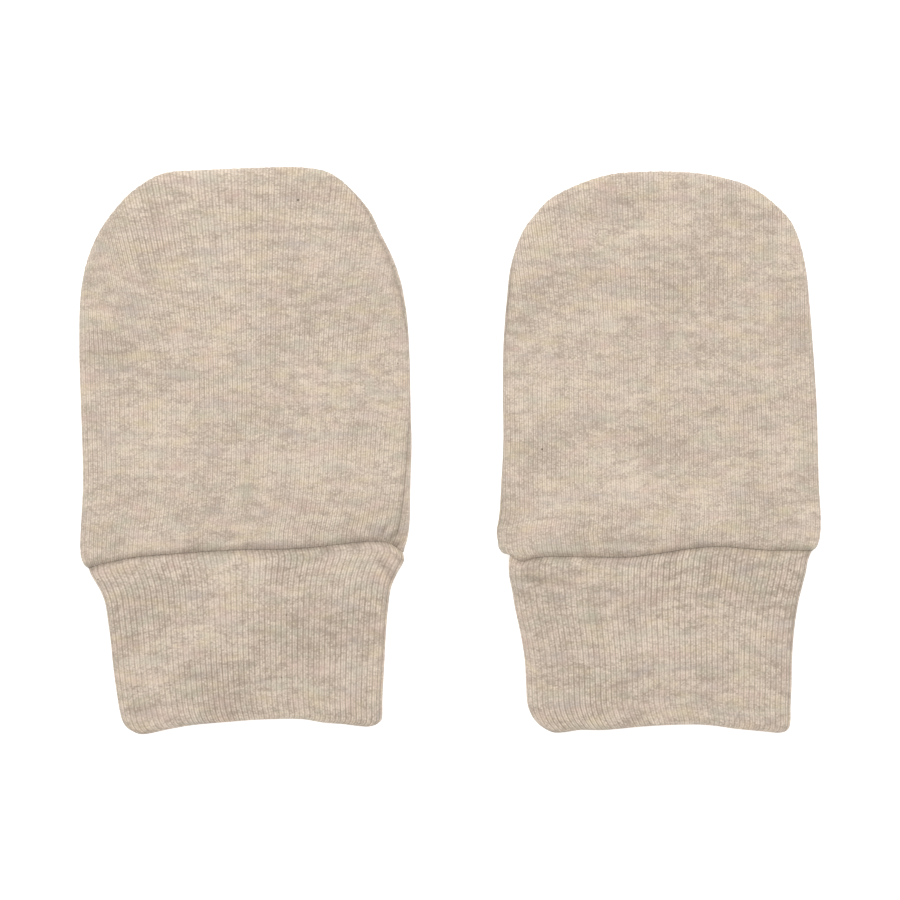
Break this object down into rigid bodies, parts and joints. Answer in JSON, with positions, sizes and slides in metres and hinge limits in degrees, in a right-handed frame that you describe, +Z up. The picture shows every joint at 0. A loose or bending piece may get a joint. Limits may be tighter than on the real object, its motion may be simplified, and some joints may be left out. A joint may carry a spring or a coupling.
{
  "type": "pair of baby mittens",
  "caption": "Pair of knitted baby scratch mittens laid flat side by side, each a rounded two-panel pouch on a doubled ribbed cuff.",
  "frame": {"origin": "centre of the pair's footprint on the table the mittens lie on", "axes": "+X to the right mitten, +Y from the cuffs to the fingertips, +Z up from the table"},
  "size_m": [0.157, 0.1201, 0.0037],
  "materials": {
    "hand_knit": "matte heather oatmeal fine rib knit",
    "cuff_rib": "matte heather oatmeal rib knit, doubled"
  },
  "bodies": {
    "root": {"left_hand_front": "hand_knit", "left_hand_back": "hand_knit", "left_cuff": "cuff_rib", "right_hand_front": "hand_knit", "right_hand_back": "hand_knit", "right_cuff": "cuff_rib"}
  },
  "joints": []
}
